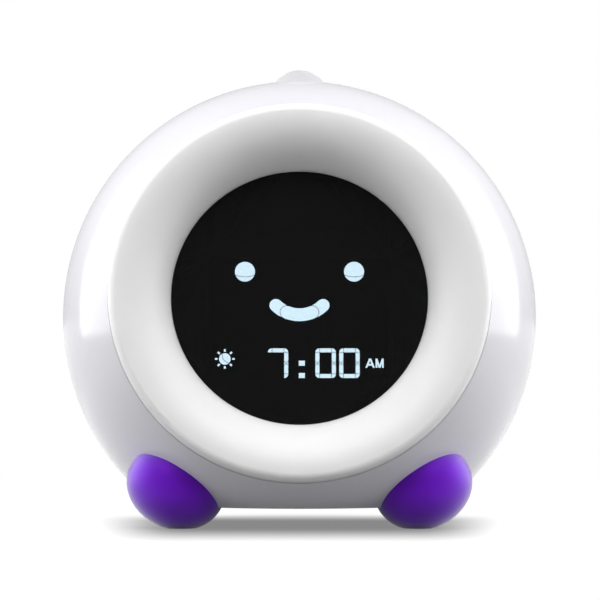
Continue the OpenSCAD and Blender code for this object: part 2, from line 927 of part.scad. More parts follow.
module light_ring() {
    color("ghostwhite")
        in_face()
            rotate_extrude() {
                difference() {
                    ring_outline(0);
                    ring_outline(ring_wall);
                    translate([collar_out_r, ring_back_z - over])
                        square([ring_r - ring_wall - collar_out_r, over + ring_lip_r]);
                }
                // Ledge over the window, with the skirt round it
                intersection() {
                    ring_outline(0);
                    translate([window_r - over, window_z])
                        square([collar_out_r - window_r + over, ring_ledge_t]);
                }
                translate([collar_r, skirt_z])
                    square([skirt_t, window_z - skirt_z + ring_ledge_t / 2]);
                // Flange that bears on the inside of the shell
                intersection() {
                    circle(r = body_r - wall - fit);
                    translate([ring_r - ring_wall, ring_back_z])
                        square([ring_wall + ring_flange, ring_flange_h]);
                }
            }
}

module display_window() {
    color([0.08, 0.08, 0.08])
        in_face()
            translate([0, 0, window_back_z])
                cylinder(r = window_disc_r, h = window_t);
}

// Black foil behind the window, open where the display is
module window_mask() {
    color("black")
        in_face()
            translate([0, 0, window_back_z - mask_t])
                linear_extrude(mask_t)
                    difference() {
                        circle(r = window_disc_r);
                        translate([0, -glass_drop])
                            square([glass_w - 2 * gasket_w, glass_h - 2 * gasket_w], center = true);
                    }
}

module at_glass(z) {
    in_face()
        translate([0, -glass_drop, z])
            children();
}

module window_gasket() {
    color("black")
        at_glass(glass_z)
            linear_extrude(gasket_t - mask_t)
                difference() {
                    square([glass_w, glass_h], center = true);
                    square([glass_w - 2 * gasket_w, glass_h - 2 * gasket_w], center = true);
                }
}

module display_glass() {
    color([0.12, 0.12, 0.14])
        at_glass(guide_z)
            linear_extrude(glass_t)
                square([glass_w, glass_h], center = true);
}

module light_guide() {
    color("whitesmoke")
        at_glass(guide_back_z)
            linear_extrude(guide_t)
                square([guide_w, guide_h], center = true);
}

module display_holder() {
    color("white")
        at_glass(main_board_z)
            difference() {
                linear_extrude(glass_z - main_board_z)
                    rounded_plate(holder_w, holder_h, holder_rim);
                translate([0, 0, -over])
                    linear_extrude(glass_z - main_board_z + 2 * over)
                        square([guide_w - 2 * holder_step, glass_h + 2 * fit - 2 * holder_step], center = true);
                translate([0, 0, guide_gap])
                    linear_extrude(glass_z - main_board_z)
                        square([guide_w + 2 * fit, glass_h - 2 * holder_step], center = true);
                translate([0, 0, guide_z - main_board_z])
                    linear_extrude(glass_t + over)
                        square([glass_w + 2 * fit, glass_h + 2 * fit], center = true);
            }
}

module contact_strips() {
    color("dimgray")
        at_glass(main_board_z)
            for (s = [-1, 1])
                translate([0, s * (glass_h / 2 - holder_step - strip_w / 2 - fit), 0])
                    linear_extrude(guide_z - main_board_z)
                        square([guide_w - 4 * holder_step, strip_w], center = true);
}

function is_lit(names, lit) = len(search(names, lit)) > 0;

// Half of the upright strokes on one side of a digit, from the middle to the corner above or below
module upright(side, up, half_w, half_h) {
    translate([side * (half_w + stroke_w / 2), up * (half_h - segment_gap) / 2])
        square([stroke_w, half_h - segment_gap], center = true);
}

// Seven bars, named a to g from the top clockwise with g in the middle, and the corners that join them
module digit(lit) {
    half_w = digit_w / 2 - stroke_w;
    half_h = digit_h / 2 - stroke_w;
    corners = [[-1, 1, "af"], [1, 1, "ab"], [1, -1, "cd"], [-1, -1, "de"]];
    uprights = [[1, 1, "b"], [1, -1, "c"], [-1, -1, "e"], [-1, 1, "f"]];
    levels = [[half_h + stroke_w / 2, "a"], [0, "g"], [-half_h - stroke_w / 2, "d"]];
    for (c = corners)
        if (is_lit(c[2], lit))
            translate([c[0] * half_w, c[1] * half_h])
                intersection() {
                    circle(r = stroke_w);
                    translate([c[0] * stroke_w / 2, c[1] * stroke_w / 2])
                        square(stroke_w, center = true);
                }
    for (l = levels)
        if (is_lit(l[1], lit))
            translate([0, l[0]])
                square([2 * (half_w - segment_gap), stroke_w], center = true);
    difference() {
        for (u = uprights)
            if (is_lit(u[2], lit))
                upright(u[0], u[1], half_w, half_h);
        for (side = [-1, 1], turn = [-45, 45])
            translate([side * (half_w + stroke_w / 2), 0])
                rotate(turn)
                    square([segment_gap, 2 * stroke_w], center = true);
    }
}

module line(a, b, w) {
    translate((a + b) / 2)
        rotate(atan2(b[1] - a[1], b[0] - a[0]))
            square([norm(b - a), w], center = true);
}

module letter_a() {
    reach = letter_a_w / 2 - letter_w / 2;
    intersection() {
        square([letter_a_w, letter_h]);
        for (s = [-1, 1])
            translate([letter_a_w / 2, 0])
                line([s * reach * 1.1, -letter_h / 10], [-s * letter_w / 6, letter_h * 1.1], letter_w);
    }
    translate([letter_a_w / 2, letter_h / 3])
        square([letter_a_w / 2, letter_w], center = true);
}

module letter_m() {
    for (x = [0, letter_m_w - letter_w])
        translate([x, 0])
            square([letter_w, letter_h]);
    intersection() {
        square([letter_m_w, letter_h]);
        for (s = [-1, 1])
            translate([letter_m_w / 2, 0])
                line([0, 0], [s * (letter_m_w - letter_w) / 2, letter_h], letter_w);
    }
}

module sun_icon() {
    difference() {
        circle(r = sun_r);
        translate(moon_at)
            difference() {
                circle(r = moon_r + segment_gap / 2);
                circle(r = moon_r - segment_gap / 2);
            }
    }
    for (a = [0:45:315])
        rotate(a)
            translate([sun_r + sun_gap, -sun_ray_w / 2])
                square([sun_ray_l, sun_ray_w]);
}

module dot() {
    difference() {
        circle(r = dot_r);
        translate([0, dot_line_r - dot_line_drop])
            difference() {
                circle(r = dot_line_r + segment_gap / 2);
                circle(r = dot_line_r - segment_gap / 2);
            }
    }
}

// A point on the smile's curve; a is counted from straight down, and r from the curve's centre
function on_smile(r, a) = [r * sin(a), smile_rise - r * cos(a)];

function smile_arc(r, from, to) = [for (k = [0:arc_steps]) on_smile(r, from + (to - from) * k / arc_steps)];

// Arc round the point at angle a, counted from the curve's outer side towards its right end
function smile_cap(a, r, from, to) = [for (k = [0:arc_steps])
    let (t = from + (to - from) * k / arc_steps)
        on_smile(smile_r, a) + r * (cos(t) * [sin(a), -cos(a)] + sin(t) * [cos(a), sin(a)])];

module smile() {
    half = smile_w / 2;
    notch_r = half + segment_gap;
    notch = acos(half / notch_r);
    start = smile_split + atan(notch_r * sin(notch) / smile_r);
    polygon(concat(smile_arc(smile_r + half, -smile_split, smile_split), smile_cap(smile_split, half, 0, 180),
        smile_arc(smile_r - half, smile_split, -smile_split), smile_cap(-smile_split, half, 180, 360)));
    for (s = [0, 1])
        mirror([s, 0])
            polygon(concat(smile_arc(smile_r + half, start, smile_angle), smile_cap(smile_angle, half, 0, 180),
                smile_arc(smile_r - half, smile_angle, start + notch / 4),
                smile_cap(smile_split, notch_r, 180 - notch, notch)));
}

module time_and_letters() {
    digit("abc");
    for (y = [0, colon_h / 2 - digit_h / 2])
        translate([digit_pitch, y])
            square([colon_w, colon_h], center = true);
    for (place = [2, 3])
        translate([place * digit_pitch, 0])
            digit("abcdef");
    translate([3.5 * digit_pitch + stroke_w, -letter_h / 2]) {
        letter_a();
        translate([letter_a_w + letter_gap, 0])
            letter_m();
    }
}

module display_segments() {
    color([0.84, 0.94, 1])
        at_glass(glass_z)
            linear_extrude(segment_t)
                scale(min(glass_w / drawing_w, glass_h / drawing_h))
                    translate([0, drawing_drop]) {
                        for (s = [-1, 1])
                            translate([s * dot_x, dot_rise])
                                dot();
                        smile();
                        translate([-time_x, -time_drop])
                            time_and_letters();
                        translate([-sun_x, digit_h / 7 - time_drop])
                            sun_icon();
                    }
}

// ---- Boards and carrier ----

module post_places() {
    in_face()
        four_round(post_circle_r, post_angle)
            children();
}

module main_board() {
    color("darkgreen")
        in_face()
            translate([0, 0, main_board_back_z])
                difference() {
                    cylinder(r = main_board_r, h = board_t);
                    four_round(post_circle_r, post_angle)
                        translate([0, 0, -over])
                            cylinder(r = thread_r + fit, h = board_t + 2 * over);
                }
}

// A chip with its middle at a place on the board's back
module chip(place, size) {
    translate([place[0], place[1], -size[2] / 2])
        cube(size, center = true);
}

module main_board_chips() {
    color("dimgray")
        in_face()
            translate([0, 0, main_board_back_z]) {
                chip(processor_at, processor_size);
                chip(clock_chip_at, clock_chip_size);
                chip(buzzer_chip_at, buzzer_chip_size);
                for (place = capacitors_at)
                    translate([place[0], place[1], -capacitor_h])
                        cylinder(r = capacitor_r, h = capacitor_h);
                chip([0, ribbon_end_y], [ribbon_w + 2, plug_l, plug_h]);
                for (place = [speaker_plug, led_plug, button_plug, battery_plug])
                    chip(place, [plug_w, plug_l, plug_h]);
            }
}

module main_board_screws() {
    color("silver")
        post_places() {
            translate([0, 0, main_board_back_z - head_h])
                cylinder(r = head_r, h = head_h);
            translate([0, 0, main_board_back_z])
                cylinder(r = thread_r, h = board_t + board_bite);
        }
}

module carrier() {
    color("whitesmoke")
        in_face()
            difference() {
                union() {
                    rotate_extrude() {
                        translate([collar_r, carrier_back_z])
                            square([rim_r - collar_r, carrier_t]);
                        translate([collar_r, carrier_z - bite])
                            square([skirt_t, skirt_z - carrier_z + bite]);
                        translate([rim_r - carrier_rim, carrier_z - bite])
                            square([carrier_rim, ring_back_z - carrier_z + bite]);
                    }
                    four_round(post_circle_r, post_angle)
                        translate([0, 0, main_board_z])
                            cylinder(r = head_r + boss_wall, h = carrier_z - main_board_z);
                    four_round(post_circle_r, post_angle)
                        translate([0, -head_r, carrier_back_z])
                            cube([collar_r + 1 - post_circle_r, 2 * head_r, carrier_t]);
                    four_round(ear_circle_r, ear_angle) {
                        translate([0, 0, ear_z - carrier_t])
                            cylinder(r = ear_r, h = carrier_t);
                        translate([rim_r - ear_circle_r - carrier_rim, -ear_r, ear_z - carrier_t])
                            cube([ear_circle_r - rim_r + carrier_rim, 2 * ear_r, carrier_t]);
                        translate([rim_r - ear_circle_r - carrier_rim, -ear_r, ear_z - carrier_t])
                            cube([carrier_rim - play, 2 * ear_r, carrier_z - ear_z + carrier_t]);
                    }
                }
                four_round(ear_circle_r, ear_angle)
                    translate([0, 0, ear_z - carrier_t - over])
                        cylinder(r = thread_r + fit, h = carrier_t + 2 * over);
                four_round(post_circle_r, post_angle)
                    translate([0, 0, main_board_z - over])
                        cylinder(r = thread_r, h = over + board_bite + pilot_rest);
                translate([each led_hole, carrier_back_z - over])
                    cylinder(r = led_hole_r, h = carrier_t + 2 * over);
            }
}

module carrier_screws() {
    color("silver")
        in_face()
            four_round(ear_circle_r, ear_angle) {
                translate([0, 0, ear_z - carrier_t - head_h])
                    cylinder(r = head_r, h = head_h);
                translate([0, 0, ear_z - carrier_t])
                    cylinder(r = thread_r, h = carrier_t + post_bite);
            }
}

module led_board() {
    color("white")
        in_face()
            translate([0, 0, carrier_z])
                tube(rim_r - carrier_rim - fit, collar_out_r + fit, led_board_t);
}

module night_light_leds() {
    color("lightyellow")
        in_face()
            for (i = [0:led_count - 1])
                rotate(i * 360 / led_count)
                    translate([led_circle_r, 0, carrier_z + led_board_t + led_h / 2])
                        cube([led_side, led_side, led_h], center = true);
}

// ---- Top button ----

module top_button() {
    color("white")
        at_centre()
            rotate_extrude() {
                difference() {
                    union() {
                        intersection() {
                            polygon([[0, button_seat_z], [button_r, button_seat_z],
                                [button_top_r, body_r + button_proud], [0, body_r + button_proud]]);
                            translate([0, body_r + button_proud - button_r])
                                circle(r = button_r);
                        }
                        translate([0, button_stop_z - play - button_flange_t])
                            square([button_r, button_seat_z - button_stop_z + play + button_flange_t]);
                        translate([0, button_stop_z - play - button_flange_t])
                            square([button_flange_r, button_flange_t]);
                    }
                    square([button_r - button_skin, button_roof_z]);
                }
                translate([0, stem_end_z])
                    square([stem_r, button_roof_z - stem_end_z + bite]);
            }
}

module top_button_spring() {
    color("silver")
        at_centre()
            translate([0, 0, button_board_z + spring_wire_r])
                wire(helix(button_spring_r, button_roof_z - button_board_z - 2 * spring_wire_r - fit,
                    spring_turns, 14), spring_wire_r, [0, 0, 1]);
}

module push_switch(well) {
    difference() {
        translate([-switch_side / 2, -switch_side / 2, 0])
            cube([switch_side, switch_side, switch_h]);
        translate([0, 0, switch_h - well])
            cylinder(r = plunger_r + play, h = well + over);
    }
}

module plunger() {
    translate([0, 0, switch_h - plunger_seat])
        cylinder(r = plunger_r, h = plunger_out + plunger_seat);
}

module button_board() {
    color("darkgreen")
        at_centre()
            translate([0, 0, button_board_z - board_t])
                linear_extrude(board_t)
                    difference() {
                        rounded_plate(2 * (button_post_x + button_post_r), button_board_l, button_post_r);
                        for (x = [-1, 1])
                            translate([x * button_post_x, 0])
                                circle(r = thread_r + fit);
                    }
}

module button_switch() {
    color("black")
        at_centre()
            translate([0, 0, button_board_z])
                push_switch(plunger_seat + button_travel + play);
}

module button_plunger() {
    color("brown")
        at_centre()
            translate([0, 0, button_board_z])
                plunger();
}

module button_board_screws() {
    color("silver")
        at_centre()
            for (x = [-1, 1])
                translate([x * button_post_x, 0, button_board_z - board_t]) {
                    translate([0, 0, -head_h])
                        cylinder(r = head_r, h = head_h);
                    cylinder(r = thread_r, h = board_t + post_bite);
                }
}

// ---- Speaker ----

module in_speaker() {
    in_panel()
        translate([0, speaker_rise, wall])
            children();
}

module speaker_frame() {
    lip_r = speaker_r - basket_lip;
    neck_r = magnet_r - 3;
    color("dimgray")
        in_speaker()
            rotate_extrude() {
                translate([lip_r, 0])
                    square([basket_lip, speaker_flange_t]);
                polygon([[lip_r, 0], [speaker_r - 1, 0], [speaker_r - 1, speaker_flange_t + basket_t / 2],
                    [magnet_r + basket_t, basket_back + basket_t], [neck_r, basket_back + basket_t],
                    [neck_r, basket_back], [magnet_r, basket_back], [lip_r, speaker_flange_t]]);
            }
}

module speaker_cone() {
    rim_r = speaker_r - 4 - surround_r;
    color([0.15, 0.15, 0.15])
        in_speaker()
            rotate_extrude() {
                // Rolled surround
                translate([speaker_r - 4, cone_z])
                    intersection() {
                        difference() {
                            circle(r = surround_r);
                            circle(r = surround_r - cone_t);
                        }
                        translate([-surround_r, 0])
                            square([2 * surround_r, surround_r]);
                    }
                // Diaphragm and dust cap
                polygon([[rim_r, cone_z], [rim_r + cone_t, cone_z], [voice_coil_r, cap_z], [0, cap_z],
                    [0, cap_z - cone_t], [voice_coil_r - 0.3, cap_z - cone_t]]);
            }
}

module speaker_magnet() {
    color("gray")
        in_speaker()
            translate([0, 0, basket_back + basket_t])
                rotate_extrude()
                    soft_disc_profile(magnet_r, speaker_depth - basket_back - basket_t, magnet_edge);
}

module speaker_screws() {
    color("silver")
        speaker_screw_places() {
            cylinder(r = speaker_head_r, h = head_h);
            translate([0, 0, -speaker_flange_t])
                cylinder(r = thread_r, h = speaker_flange_t);
        }
}

// ---- Keys, slide switch and power socket ----

module key_board() {
    color("darkgreen")
        in_panel()
            translate([0, 0, key_board_depth])
                linear_extrude(board_t)
                    difference() {
                        translate([-key_board_w / 2, -key_board_bottom])
                            square([key_board_w, key_board_bottom - key_board_top]);
                        for (p = key_boss_places)
                            translate(p)
                                circle(r = thread_r + fit);
                    }
}

// Places a switch on the key board, where it looks back at the panel
module on_key_board(place) {
    in_panel()
        translate([place[0], place[1], key_board_depth])
            rotate([180, 0, 0])
                children();
}

module key_switches() {
    color("black")
        for (p = key_places)
            on_key_board(p)
                push_switch(plunger_seat + key_travel + play);
}

module key(index) {
    color("white")
        in_panel()
            translate([key_places[index][0], key_places[index][1], 0])
                rotate_extrude() {
                    translate([0, wall])
                        mirror([0, 1])
                            soft_disc_profile(key_r, wall + key_proud, key_edge);
                    translate([0, wall - bite])
                        square([key_r, key_skin_gap + 2 * bite]);
                    translate([0, wall + key_skin_gap])
                        square([key_r + key_flange, key_flange_t]);
                    square([plunger_r, key_stem_end]);
                }
}

module key_plunger(index) {
    color("brown")
        on_key_board(key_places[index])
            plunger();
}

module mode_key() {
    key(0);
}

module set_key() {
    key(1);
}

module down_key() {
    key(2);
}

module up_key() {
    key(3);
}

module mode_plunger() {
    key_plunger(0);
}

module set_plunger() {
    key_plunger(1);
}

module down_plunger() {
    key_plunger(2);
}

module up_plunger() {
    key_plunger(3);
}

module alarm_knob() {
    color("white")
        in_panel()
            translate([knob_start_x, -lower_drop, 0]) {
                difference() {
                    translate([-knob_w / 2, -knob_h / 2, -knob_proud])
                        cube([knob_w, knob_h, knob_proud + wall + key_skin_gap + bite]);
                    for (x = [-1, 0, 1])
                        translate([2 * x * knob_groove - knob_groove / 2, -knob_h, -knob_proud - bite])
                            cube([knob_groove, 2 * knob_h, knob_groove]);
                }
                translate([-knob_flange_w / 2, -knob_slot_h / 2 - knob_flange_over, wall + key_skin_gap])
                    cube([knob_flange_w, knob_slot_h + 2 * knob_flange_over, key_flange_t]);
                translate([-knob_stem / 2, -knob_stem / 2, wall])
                    cube([knob_stem, knob_stem, key_board_depth - slide_body_h + slide_pocket_depth - play
                        - wall]);
            }
}

module slide_switch() {
    color("gray")
        on_key_board([-knob_x, -lower_drop])
            difference() {
                translate([-slide_body_w / 2, -slide_body_h / 2, 0])
                    cube([slide_body_w, slide_body_h, slide_body_h]);
                translate([-(knob_stem + knob_travel) / 2 - play, -knob_stem / 2 - play,
                    slide_body_h - slide_pocket_depth])
                    cube([knob_stem + knob_travel + 2 * play, knob_stem + 2 * play, slide_pocket_depth + over]);
            }
}

module power_socket() {
    color("silver")
        on_key_board([socket_x, -lower_drop]) {
            difference() {
                linear_extrude(key_board_depth - socket_recess)
                    stadium(socket_w, socket_h);
                translate([0, 0, socket_floor_t])
                    linear_extrude(key_board_depth)
                        stadium(socket_w - 2 * socket_wall, socket_h - 2 * socket_wall);
            }
            translate([0, 0, socket_floor_t - over])
                linear_extrude(key_board_depth - socket_recess - socket_floor_t + over - socket_tongue_back)
                    square([socket_tongue_w, socket_tongue_t], center = true);
        }
}

module key_board_screws() {
    color("silver")
        in_panel()
            ring_of(key_boss_places) {
                translate([0, 0, key_board_depth + board_t])
                    cylinder(r = head_r, h = head_h);
                translate([0, 0, key_board_depth - key_screw_bite])
                    cylinder(r = thread_r, h = board_t + key_screw_bite);
            }
}

// ---- Base and batteries ----

module door_outline(gap) {
    rounded_plate(door_w + 2 * gap, door_l + 2 * gap, door_corner_r + gap);
    translate([0, door_screw_y])
        circle(r = door_tab_r + gap);
    translate([-door_tab_r - gap, door_l / 2 - 1])
        square([2 * (door_tab_r + gap), door_screw_y - door_l / 2 + 1]);
}

module base_plate() {
    color("white")
        translate([0, centre_y, 0])
            difference() {
                union() {
                    translate([0, 0, base_lift])
                        linear_extrude(wall)
                            rounded_plate(plate_w, plate_l, plate_corner_r);
                    translate([0, 0, base_lift])
                        linear_extrude(box_roof_z + box_wall - base_lift)
                            rounded_plate(box_w, box_l, door_corner_r);
                    translate([0, door_screw_y, floor_z - bite])
                        cylinder(r = door_tab_r, h = door_screw_boss_h);
                }
                translate([0, 0, base_lift - over])
                    linear_extrude(over + box_roof_z - base_lift)
                        square([box_w - 2 * box_wall, box_l - 2 * box_wall], center = true);
                translate([0, 0, base_lift - over])
                    linear_extrude(over + door_t + fit)
                        door_outline(play);
                translate([0, door_screw_y, base_lift])
                    cylinder(r = thread_r, h = door_screw_boss_h);
                ring_of(base_screws_at)
                    translate([0, 0, base_lift - over]) {
                        cylinder(r = thread_r + fit, h = wall + 2 * over);
                        cylinder(r = head_r + fit, h = over + head_h);
                    }
            }
}

module base_screws() {
    color("silver")
        translate([0, centre_y, base_lift])
            ring_of(base_screws_at) {
                cylinder(r = head_r, h = head_h);
                cylinder(r = thread_r, h = wall + base_screw_bite);
            }
}

module battery_door() {
    color("white")
        translate([0, centre_y, base_lift])
            difference() {
                union() {
                    linear_extrude(door_t)
                        door_outline(0);
                    // Rib that lines the door up with the front edge of the opening
                    translate([-door_rib_w / 2, -box_l / 2 + box_wall + play, door_t - bite])
                        cube([door_rib_w, door_rib_t, door_rib_h + bite]);
                }
                translate([0, door_screw_y, -over]) {
                    cylinder(r = thread_r + fit, h = door_t + 2 * over);
                    cylinder(r = head_r + fit, h = over + door_head_h);
                }
                for (i = [-3:3])
                    translate([-door_grip_w / 2, door_grip_y + (2 * i - 0.5) * door_grip_t, -over])
                        cube([door_grip_w, door_grip_t, over + door_grip_depth]);
            }
}

module battery_door_screw() {
    color("silver")
        translate([0, centre_y + door_screw_y, base_lift]) {
            cylinder(r = head_r, h = door_head_h);
            cylinder(r = thread_r - fit, h = door_t + door_screw_bite);
        }
}

// Places each cell, alternately turned, with its nub towards +Z
module cell_places() {
    for (i = [-1:1])
        translate([i * cell_pitch, centre_y, cell_z])
            rotate([i == 0 ? -90 : 90, 0, 0])
                children();
}

module battery_cells() {
    color("steelblue")
        cell_places()
            translate([0, 0, contact_l / 2 - cell_l / 2]) {
                rotate_extrude()
                    soft_disc_profile(cell_r, cell_l - cell_nub_h, cell_edge);
                translate([0, 0, cell_l - cell_nub_h - bite])
                    cylinder(r = cell_nub_r, h = cell_nub_h + bite);
            }
}

module battery_plates() {
    color("silver")
        cell_places()
            for (s = [-1, 1])
                translate([0, 0, s * (box_l / 2 - box_wall - contact_t / 2)])
                    cube([contact_side, contact_side, contact_t], center = true);
}

module battery_springs() {
    color("silver")
        cell_places()
            translate([0, 0, contact_wire_r - (box_l / 2 - box_wall - contact_t)])
                wire(helix(contact_spring_r, contact_l - 2 * contact_wire_r - fit, 3, 12, contact_taper),
                    contact_wire_r, [0, 0, 1]);
}

// ---- Feet ----

module foot() {
    color([0.36, 0.09, 0.66])
        difference() {
            intersection() {
                translate([-foot_x, centre_y - foot_forward, foot_z])
                    rotate([0, foot_slope, 0])
                        scale([foot_a / foot_b, 1, 1])
                            sphere(r = foot_b, $fn = 144);
                translate([-2 * body_r, -2 * body_r, 0])
                    cube(4 * body_r);
            }
            body_solid(0);
            translate([-foot_low_x, centre_y - foot_forward, -over])
                cylinder(r = pad_r + fit, h = over + pad_t);
            foot_screw_places()
                translate([0, 0, body_r - wall])
                    cylinder(r = foot_pilot_r, h = foot_screw_l);
        }
}

module foot_left() {
    foot();
}

module foot_right() {
    mirror([1, 0, 0])
        foot();
}

module foot_screws() {
    color("silver")
        foot_screw_places()
            translate([0, 0, body_r - wall - foot_seat]) {
                translate([0, 0, -foot_head_h])
                    cylinder(r = case_head_r, h = foot_head_h);
                cylinder(r = foot_pilot_r, h = foot_screw_l);
            }
}

module foot_pads() {
    color([0.2, 0.2, 0.2])
        mirrored_pair()
            translate([-foot_low_x, centre_y - foot_forward, 0])
                cylinder(r = pad_r, h = pad_t);
}

module rear_feet() {
    color([0.36, 0.09, 0.66])
        mirrored_pair()
            translate([rear_foot_x, centre_y + rear_foot_back, 0]) {
                translate([0, 0, base_lift])
                    mirror([0, 0, 1])
                        rotate_extrude()
                            soft_disc_profile(rear_foot_r, base_lift, rear_foot_edge);
                cylinder(r = rear_stem_r, h = floor_z + rear_stem_up);
            }
}

// ---- Cables ----

module key_cable() {
    path = smooth_route([for (p = ribbon_route) [p[0], p[1], 0]], 3);
    color("lightgray")
        in_face()
            translate([-ribbon_w / 2, 0, 0])
                rotate([90, 0, 90])
                    linear_extrude(ribbon_w)
                        polygon(concat(
                            [for (p = path) [p[0] + ribbon_t / 2, p[1]]],
                            [for (i = [len(path) - 1:-1:0]) [path[i][0] - ribbon_t / 2, path[i][1]]]));
}

module speaker_wires() {
    color("red")
        in_face()
            wire_pair(speaker_route, [0, wire_gap, 0]);
}

module battery_wires() {
    color("crimson")
        in_face()
            wire_pair(battery_route, [wire_gap, 0, 0]);
}

module button_wires() {
    color("gold")
        in_face()
            wire_pair(button_route, [wire_gap, 0, 0]);
}

module led_wires() {
    color("orange")
        in_face()
            wire_pair(led_route, [0, wire_gap, 0]);
}

front_shell();
rear_shell();
base_plate();
battery_door();
battery_door_screw();
base_screws();
case_screws();
foot_left();
foot_right();
foot_screws();
foot_pads();
rear_feet();
light_ring();
display_window();
window_gasket();
display_glass();
window_mask();
display_segments();
light_guide();
display_holder();
contact_strips();
main_board();
main_board_chips();
main_board_screws();
carrier();
carrier_screws();
led_board();
night_light_leds();
top_button();
top_button_spring();
button_board();
button_switch();
button_plunger();
button_board_screws();
speaker_frame();
speaker_cone();
speaker_magnet();
speaker_screws();
key_board();
key_switches();
mode_key();
set_key();
down_key();
up_key();
mode_plunger();
set_plunger();
down_plunger();
up_plunger();
alarm_knob();
slide_switch();
power_socket();
key_board_screws();
battery_cells();
battery_springs();
battery_plates();
key_cable();
speaker_wires();
battery_wires();
button_wires();
led_wires();
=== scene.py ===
import math

import bpy
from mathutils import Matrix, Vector


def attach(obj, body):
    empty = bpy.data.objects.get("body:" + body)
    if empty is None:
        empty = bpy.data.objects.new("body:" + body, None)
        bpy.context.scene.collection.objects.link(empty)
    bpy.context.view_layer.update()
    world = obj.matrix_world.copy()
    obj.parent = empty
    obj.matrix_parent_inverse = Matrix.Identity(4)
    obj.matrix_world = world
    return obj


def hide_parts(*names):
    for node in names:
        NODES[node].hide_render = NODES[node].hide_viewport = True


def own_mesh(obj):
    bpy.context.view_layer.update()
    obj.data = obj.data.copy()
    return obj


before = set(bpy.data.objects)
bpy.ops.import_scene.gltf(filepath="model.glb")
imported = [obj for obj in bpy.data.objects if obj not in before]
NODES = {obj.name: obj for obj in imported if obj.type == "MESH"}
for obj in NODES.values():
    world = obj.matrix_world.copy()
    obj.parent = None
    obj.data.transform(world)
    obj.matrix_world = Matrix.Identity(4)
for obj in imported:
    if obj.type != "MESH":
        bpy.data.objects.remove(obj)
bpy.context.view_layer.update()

MM = 0.001

# The middle of the round body, at which the camera and the lamps look
BODY_CENTRE = Vector((0, -4.82, 52)) * MM


# ---- Nodes ----

# The stretch of a noise's value that the materials use
NOISE_LOW, NOISE_HIGH = 0.3, 0.7


def object_place(tree):
    """Where on its own object a point lies."""
    return tree.nodes.new("ShaderNodeTexCoord").outputs["Object"]


def axes_of(tree, vector):
    """A vector's X, Y and Z, by name."""
    node = tree.nodes.new("ShaderNodeSeparateXYZ")
    tree.links.new(vector, node.inputs[0])
    return node.outputs


def noise(tree, size, detail=2, stretch=None):
    """Noise whose grains are about size metres across, divided by stretch along each axis."""
    node = tree.nodes.new("ShaderNodeTexNoise")
    node.inputs["Scale"].default_value = 1 / size
    node.inputs["Detail"].default_value = detail
    place = object_place(tree)
    if stretch:
        mapping = tree.nodes.new("ShaderNodeMapping")
        mapping.inputs["Scale"].default_value = stretch
        tree.links.new(place, mapping.inputs["Vector"])
        place = mapping.outputs["Vector"]
    tree.links.new(place, node.inputs["Vector"])
    return node.outputs["Fac"]


def map_range(tree, value, start, end, low, high, interpolation):
    """Maps value from start..end to low..high."""
    node = tree.nodes.new("ShaderNodeMapRange")
    node.interpolation_type = interpolation
    for name, number in (("From Min", start), ("From Max", end), ("To Min", low), ("To Max", high)):
        node.inputs[name].default_value = number
    tree.links.new(value, node.inputs["Value"])
    return node.outputs["Result"]


def spread(tree, grain, low, high):
    """Maps a noise to low..high."""
    return map_range(tree, grain, NOISE_LOW, NOISE_HIGH, low, high, "LINEAR")


def ramp(tree, value, start, end, low, high):
    """A soft step of value from low at start to high at end."""
    return map_range(tree, value, start, end, low, high, "SMOOTHSTEP")


def blend_colours(tree, grain, first, last):
    """Maps a noise to the colours from first to last."""
    node = tree.nodes.new("ShaderNodeValToRGB")
    stops = zip(node.color_ramp.elements, (NOISE_LOW, NOISE_HIGH), (first, last))
    for stop, place, colour in stops:
        stop.position = place
        stop.color = (*colour, 1)
    tree.links.new(grain, node.inputs["Fac"])
    return node.outputs["Color"]


def bump(tree, shader, height, depth):
    """Relief depth metres high."""
    node = tree.nodes.new("ShaderNodeBump")
    node.inputs["Distance"].default_value = depth
    tree.links.new(height, node.inputs["Height"])
    tree.links.new(node.outputs["Normal"], shader.inputs["Normal"])


def combine(tree, operation, first, second=None):
    """One or two values put through a Math operation."""
    node = tree.nodes.new("ShaderNodeMath")
    node.operation = operation
    tree.links.new(first, node.inputs[0])
    if second:
        tree.links.new(second, node.inputs[1])
    return node.outputs[0]


def shade(colour, factor):
    """The colour, made lighter or darker."""
    return tuple(min(1.0, c * factor) for c in colour)


# ---- Materials ----

def new_material(name):
    """A material with only a Principled shader, its tree and that shader."""
    material = bpy.data.materials.new(name)
    material.use_nodes = True
    return material, material.node_tree, material.node_tree.nodes["Principled BSDF"]


def moulded(name, colour, rough, grain=0.4 * MM, relief=0.002 * MM, mottle=0.03, **sockets):
    """Moulded plastic or rubber: a fine grain, uneven gloss and a slight mottle of its colour.

    The rest of the shader's sockets are set by name."""
    uneven = 0.15
    patch = 14 * MM
    material, tree, shader = new_material(name)
    fine = noise(tree, grain, detail=3)
    broad = noise(tree, patch)
    tree.links.new(blend_colours(tree, broad, shade(colour, 1 - mottle), shade(colour, 1 + mottle)),
                   shader.inputs["Base Color"])
    tree.links.new(spread(tree, fine, rough * (1 - uneven), rough * (1 + uneven)),
                   shader.inputs["Roughness"])
    bump(tree, shader, fine, relief)
    for socket, value in sockets.items():
        shader.inputs[socket.replace("_", " ")].default_value = value
    return material


def brushed_metal(name, colour, rough):
    """Plated or drawn metal with fine lines."""
    line = 0.25 * MM
    stretch = (1, 8, 1)
    relief = 0.004 * MM
    dull = 0.86
    uneven = 0.3
    material, tree, shader = new_material(name)
    lines = noise(tree, line, detail=4, stretch=stretch)
    tree.links.new(blend_colours(tree, lines, shade(colour, dull), colour),
                   shader.inputs["Base Color"])
    tree.links.new(spread(tree, lines, rough * (1 - uneven), rough * (1 + uneven)),
                   shader.inputs["Roughness"])
    bump(tree, shader, lines, relief)
    shader.inputs["Metallic"].default_value = 1
    return material


